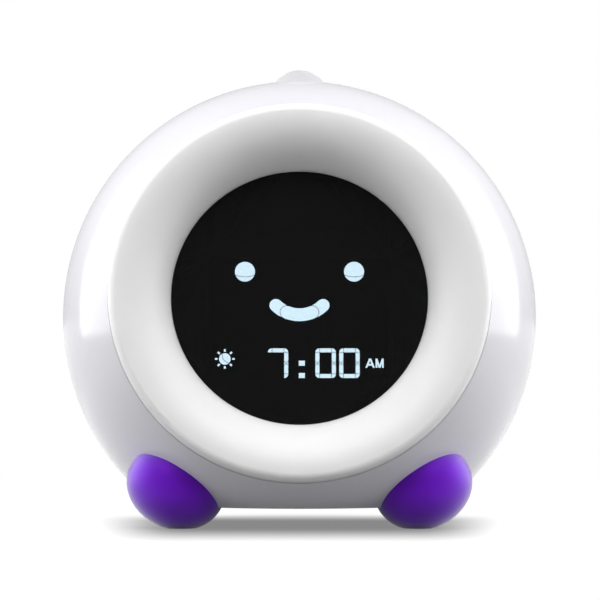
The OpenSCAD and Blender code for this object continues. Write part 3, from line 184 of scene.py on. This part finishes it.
def circuit_board(name, mask, tracks):
    """Solder mask in blocks, with copper tracks that show between them."""
    block = 9 * MM
    track = 0.035  # width, as a share of a block
    dim = 0.8
    grain = 0.6 * MM
    smoothest, roughest = 0.28, 0.42
    relief = 0.01 * MM
    material, tree, shader = new_material(name)
    brick = tree.nodes.new("ShaderNodeTexBrick")
    brick.inputs["Scale"].default_value = 1 / block
    brick.inputs["Mortar Size"].default_value = track
    brick.inputs["Color1"].default_value = (*mask, 1)
    brick.inputs["Color2"].default_value = (*shade(mask, dim), 1)
    brick.inputs["Mortar"].default_value = (*tracks, 1)
    upright = tree.nodes.new("ShaderNodeMapping")  # as most boards are
    upright.inputs["Rotation"].default_value = (math.pi / 2, 0, 0)
    tree.links.new(object_place(tree), upright.inputs["Vector"])
    tree.links.new(upright.outputs["Vector"], brick.inputs["Vector"])
    tree.links.new(brick.outputs["Color"], shader.inputs["Base Color"])
    tree.links.new(spread(tree, noise(tree, grain), smoothest, roughest),
                   shader.inputs["Roughness"])
    bump(tree, shader, brick.outputs["Fac"], relief)
    return material


def lit_segments():
    """The display's segments, whose front faces are lit evenly with a faint grain."""
    dimmer, brighter = (0.64, 0.83, 0.92), (0.68, 0.88, 0.96)
    strength = 52  # enough to show through the dark window
    front, aside = -0.95, -0.8  # a face's Y direction where it is fully lit, and where it is dark
    grain = 0.5 * MM
    material, tree, shader = new_material("segments_lit")
    tree.links.new(blend_colours(tree, noise(tree, grain), dimmer, brighter),
                   shader.inputs["Emission Color"])
    facing = axes_of(tree, tree.nodes.new("ShaderNodeNewGeometry").outputs["True Normal"])["Y"]
    tree.links.new(ramp(tree, facing, front, aside, strength, 0),
                   shader.inputs["Emission Strength"])
    shader.inputs["Base Color"].default_value = (0.02, 0.02, 0.03, 1)
    shader.inputs["Roughness"].default_value = 0.4
    return material


def make_finishes():
    """Each finish, with the nodes that wear it."""
    return [
        (moulded("shell_gloss_white", (0.71, 0.70, 0.74), rough=0.16, grain=1.1 * MM,
                 relief=0.0012 * MM, mottle=0.008, Specular_IOR_Level=0.28, Coat_Weight=0.12,
                 Coat_Roughness=0.08),
         ["front_shell", "rear_shell", "base_plate", "battery_door"]),
        # Translucent, so that the light goes softly round its bell and lip
        (moulded("ring_frosted", (0.885, 0.866, 0.856), rough=0.5, grain=0.25 * MM,
                 relief=0.003 * MM, mottle=0.01, Subsurface_Weight=0.7,
                 Subsurface_Radius=(1.0, 0.95, 0.9), Subsurface_Scale=4 * MM),
         ["light_ring"]),
        (moulded("button_satin_white", (0.57, 0.57, 0.59), rough=0.34, mottle=0.01),
         ["top_button"]),
        (moulded("key_satin_white", (0.72, 0.72, 0.74), rough=0.38, mottle=0.02),
         ["mode_key", "set_key", "down_key", "up_key", "alarm_knob"]),
        (moulded("foot_satin_purple", (0.14, 0.0012, 0.55), rough=0.4, grain=0.3 * MM,
                 Specular_IOR_Level=0.8, Specular_Tint=(0.3, 0.02, 1, 1), Sheen_Weight=1,
                 Sheen_Roughness=0.45),
         ["foot_left", "foot_right", "rear_feet"]),
        (moulded("pad_dark_rubber", (0.035, 0.035, 0.037), rough=0.75, grain=0.2 * MM,
                 relief=0.01 * MM, mottle=0.12),
         ["foot_pads"]),
        # Dark acrylic that lets only the lit segments through
        (moulded("window_smoked", (0.03, 0.03, 0.031), rough=0.03, grain=0.6 * MM,
                 relief=0.0004 * MM, mottle=0.02, Transmission_Weight=0.82, IOR=1.36),
         ["display_window"]),
        (lit_segments(),
         ["display_segments"]),
        (moulded("gasket_black_foam", (0.012, 0.012, 0.012), rough=0.9, grain=0.25 * MM,
                 relief=0.03 * MM, mottle=0.25),
         ["window_gasket"]),
        (moulded("display_dark_glass", (0.006, 0.006, 0.007), rough=0.08, mottle=0.05),
         ["display_glass"]),
        (moulded("mask_black_foil", (0.007, 0.007, 0.0075), rough=0.6, grain=0.3 * MM, mottle=0.15),
         ["window_mask"]),
        (moulded("guide_clear_acrylic", (0.85, 0.87, 0.88), rough=0.12, mottle=0.01,
                 Transmission_Weight=0.7),
         ["light_guide"]),
        (moulded("dark_plastic", (0.015, 0.015, 0.016), rough=0.45, mottle=0.1),
         ["carrier", "display_holder", "button_switch", "key_switches"]),
        (moulded("contact_rubber", (0.35, 0.20, 0.22), rough=0.7, mottle=0.15),
         ["contact_strips"]),
        (circuit_board("board_green", mask=(0.012, 0.09, 0.04), tracks=(0.03, 0.19, 0.07)),
         ["main_board", "button_board", "key_board"]),
        (circuit_board("board_white", mask=(0.74, 0.74, 0.72), tracks=(0.60, 0.58, 0.50)),
         ["led_board"]),
        (moulded("chip_epoxy", (0.02, 0.02, 0.022), rough=0.55, grain=0.15 * MM, relief=0.006 * MM,
                 mottle=0.15),
         ["main_board_chips"]),
        (moulded("led_phosphor", (0.85, 0.72, 0.24), rough=0.35, mottle=0.06),
         ["night_light_leds"]),
        (brushed_metal("screw_steel", (0.60, 0.60, 0.61), rough=0.28),
         ["battery_door_screw", "base_screws", "case_screws", "foot_screws", "main_board_screws",
          "carrier_screws", "button_board_screws", "speaker_screws", "key_board_screws",
          "slide_switch", "power_socket"]),
        (brushed_metal("spring_nickel", (0.68, 0.66, 0.62), rough=0.22),
         ["top_button_spring", "battery_springs", "battery_plates"]),
        (brushed_metal("magnet_zinc", (0.52, 0.52, 0.54), rough=0.34),
         ["speaker_magnet"]),
        (moulded("speaker_basket", (0.03, 0.03, 0.032), rough=0.4, mottle=0.1),
         ["speaker_frame"]),
        (moulded("speaker_paper", (0.045, 0.043, 0.04), rough=0.85, grain=0.35 * MM,
                 relief=0.03 * MM, mottle=0.2),
         ["speaker_cone"]),
        (moulded("plunger_brown", (0.20, 0.075, 0.03), rough=0.5, mottle=0.08),
         ["button_plunger", "mode_plunger", "set_plunger", "down_plunger", "up_plunger"]),
        (moulded("cell_sleeve", (0.05, 0.16, 0.36), rough=0.25, mottle=0.04),
         ["battery_cells"]),
        (moulded("ribbon_grey", (0.42, 0.42, 0.43), rough=0.45, grain=0.5 * MM, mottle=0.04),
         ["key_cable"]),
        (moulded("wire_red", (0.50, 0.02, 0.02), rough=0.45, mottle=0.06),
         ["speaker_wires", "battery_wires"]),
        (moulded("wire_yellow", (0.62, 0.42, 0.02), rough=0.45, mottle=0.06),
         ["button_wires", "led_wires"]),
    ]


def dress_nodes():
    """Gives every node its finish."""
    for material, names in make_finishes():
        for name in names:
            slots = NODES[name].data.materials
            slots.clear()
            slots.append(material)


# ---- Pieces ----

def add_object(name, data):
    """A new object in the scene."""
    thing = bpy.data.objects.new(name, data)
    bpy.context.scene.collection.objects.link(thing)
    return thing


def make_return_spring():
    """The button's spring as a piece of its own, held by the case."""
    solid = NODES["top_button_spring"]
    coil = add_object("return_spring", solid.data.copy())
    coil.matrix_world = solid.matrix_world
    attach(coil, "case")
    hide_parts("top_button_spring")
    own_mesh(coil)


# ---- Stage ----

FLOOR_REACH = 6.0  # from its middle, in metres
FLOOR_MATT = 0.30  # the share of its tone that the clock's shadow darkens
FLOOR_GLOW = 0.80  # the share that stays
FLOOR_BOUNCE = 0.26  # its tone for the light that it sends up to the clock
FLOOR_WHITE = (170 * MM, 300 * MM)  # where it begins to run out to white, and where it is white

# The painted shadow, a soft darker patch on the floor: its tone, and where it begins and ends
# across and along the floor
PAINTED_SHADOW_GLOW = 0.25
PAINTED_SHADOW_ASIDE = (28 * MM, 55 * MM)
PAINTED_SHADOW_FRONT = (-120 * MM, -28 * MM)
PAINTED_SHADOW_BACK = (-2 * MM, 40 * MM)

SURROUND = (0.93, 0.95, 1, 1)
SURROUND_STRENGTH = 0.10
BACKDROP_STRENGTH = 0.5  # as the clock mirrors it
BACKDROP_EDGE = (-0.25, 0.35)  # the Y direction where the mirrored backdrop begins, and is full
WHITE = (1, 1, 1, 1)


def mix_shaders(tree, factor, first, second):
    """First where factor is 0, and second where it is 1."""
    node = tree.nodes.new("ShaderNodeMixShader")
    tree.links.new(factor, node.inputs["Fac"])
    tree.links.new(first, node.inputs[1])
    tree.links.new(second, node.inputs[2])
    return node.outputs[0]


def glow(tree, strength):
    """White light of its own."""
    node = tree.nodes.new("ShaderNodeEmission")
    node.inputs["Strength"].default_value = strength
    return node.outputs[0]


def matt(tree, tone):
    """A matt grey."""
    node = tree.nodes.new("ShaderNodeBsdfDiffuse")
    node.inputs["Color"].default_value = (tone, tone, tone, 1)
    return node.outputs[0]


def background(tree, colour, strength):
    """Light from the world."""
    node = tree.nodes.new("ShaderNodeBackground")
    node.inputs["Color"].default_value = colour
    node.inputs["Strength"].default_value = strength
    return node.outputs[0]


def blank_tree(owner):
    """The empty node tree of a material or world."""
    owner.use_nodes = True
    owner.node_tree.nodes.clear()
    return owner.node_tree


def viewing_rays(tree):
    """Whether a ray comes from the camera, and whether from a surface that mirrors or is clear."""
    rays = tree.nodes.new("ShaderNodeLightPath").outputs
    return rays["Is Camera Ray"], combine(tree, "MAXIMUM", rays["Is Glossy Ray"],
                                          rays["Is Transmission Ray"])


def stage_material():
    """Pale floor that runs out to white, with a soft shadow painted under and in front of the
    clock.

    From below it is clear, so that the underside can be looked at."""
    material = bpy.data.materials.new("stage_floor")
    tree = blank_tree(material)
    lit = tree.nodes.new("ShaderNodeAddShader")
    tree.links.new(matt(tree, FLOOR_MATT), lit.inputs[0])
    tree.links.new(glow(tree, FLOOR_GLOW), lit.inputs[1])
    place = axes_of(tree, object_place(tree))
    # Painted shadow: a dim glow mixed in over a soft patch under and in front of the clock
    aside = ramp(tree, combine(tree, "ABSOLUTE", place["X"]), *PAINTED_SHADOW_ASIDE, 1, 0)
    in_front = ramp(tree, place["Y"], *PAINTED_SHADOW_FRONT, 0, 1)
    behind = ramp(tree, place["Y"], *PAINTED_SHADOW_BACK, 1, 0)
    patch = combine(tree, "MULTIPLY", combine(tree, "MULTIPLY", aside, in_front), behind)
    near = mix_shaders(tree, patch, lit.outputs[0], glow(tree, PAINTED_SHADOW_GLOW))
    distance = tree.nodes.new("ShaderNodeVectorMath")
    distance.operation = "LENGTH"
    tree.links.new(object_place(tree), distance.inputs[0])
    far = ramp(tree, distance.outputs["Value"], *FLOOR_WHITE, 0, 1)
    seen = mix_shaders(tree, far, near, glow(tree, 1))
    looking = combine(tree, "MAXIMUM", *viewing_rays(tree))
    above = mix_shaders(tree, looking, matt(tree, FLOOR_BOUNCE), seen)
    below = tree.nodes.new("ShaderNodeBsdfTransparent").outputs[0]
    from_below = tree.nodes.new("ShaderNodeNewGeometry").outputs["Backfacing"]
    output = tree.nodes.new("ShaderNodeOutputMaterial")
    tree.links.new(mix_shaders(tree, from_below, above, below), output.inputs["Surface"])
    return material


def make_floor():
    """The floor that the clock stands on."""
    corners = [(x * FLOOR_REACH, y * FLOOR_REACH, 0)
               for x, y in ((-1, -1), (1, -1), (1, 1), (-1, 1))]
    mesh = bpy.data.meshes.new("floor")
    mesh.from_pydata(corners, [], [(0, 1, 2, 3)])
    mesh.materials.append(stage_material())
    add_object("floor", mesh)


def make_world():
    """A soft grey surround, white where the camera sees it or the clock mirrors the backdrop."""
    world = bpy.data.worlds.new("surround")
    bpy.context.scene.world = world
    tree = blank_tree(world)
    from_camera, mirrored = viewing_rays(tree)
    direction = axes_of(tree, tree.nodes.new("ShaderNodeTexCoord").outputs["Generated"])
    backdrop = ramp(tree, direction["Y"], *BACKDROP_EDGE, 0, BACKDROP_STRENGTH)
    looking = combine(tree, "MAXIMUM", from_camera, combine(tree, "MULTIPLY", mirrored, backdrop))
    output = tree.nodes.new("ShaderNodeOutputWorld")
    tree.links.new(mix_shaders(tree, looking, background(tree, SURROUND, SURROUND_STRENGTH),
                               background(tree, WHITE, 1)),
                   output.inputs["Surface"])


def soft_box(name, azimuth, distance, height, size, power):
    """A rectangular lamp that looks at the middle of the body.

    Azimuth 0 is in front of the clock and 90 on the camera's right."""
    turn = math.radians(azimuth)
    lamp = bpy.data.lights.new(name, "AREA")
    lamp.shape = "RECTANGLE"
    lamp.size, lamp.size_y = size
    lamp.energy = power
    holder = add_object(name, lamp)
    holder.location = (distance * math.sin(turn), BODY_CENTRE.y - distance * math.cos(turn), height)
    holder.rotation_mode = "QUATERNION"
    holder.rotation_quaternion = (holder.location - BODY_CENTRE).to_track_quat("Z", "Y")
    holder.visible_camera = False


def make_lamps():
    """One soft box in front and above, and one on each side."""
    soft_box("lamp_front", azimuth=0, distance=0.38, height=0.68, size=(0.7, 0.4), power=5.4)
    for side, name in ((-1, "left"), (1, "right")):
        soft_box("lamp_side_" + name, azimuth=side * 96, distance=0.46, height=0.205,
                 size=(0.62, 0.41), power=2.6)


def make_camera():
    """A long lens level with the middle of the body, tipped so that the body sits a little low."""
    distance = 1.0
    sensor_mm = 36
    focal_px = 3934.6
    image_px = 600
    body_px = (299.5, 317.5)  # where the middle of the body is in the picture
    lens = bpy.data.cameras.new("camera")
    lens.sensor_width = sensor_mm
    lens.lens = focal_px * sensor_mm / image_px
    camera = add_object("camera", lens)
    camera.location = BODY_CENTRE - Vector((0, distance, 0))
    right = math.atan((image_px / 2 - body_px[0]) / focal_px)
    up = math.atan((body_px[1] - image_px / 2) / focal_px)
    camera.rotation_euler = (math.pi / 2 + up, 0, -right)
    bpy.context.scene.camera = camera


make_camera()
dress_nodes()
make_return_spring()
make_floor()
make_world()
make_lamps()
bpy.context.scene.view_settings.view_transform = "Standard"
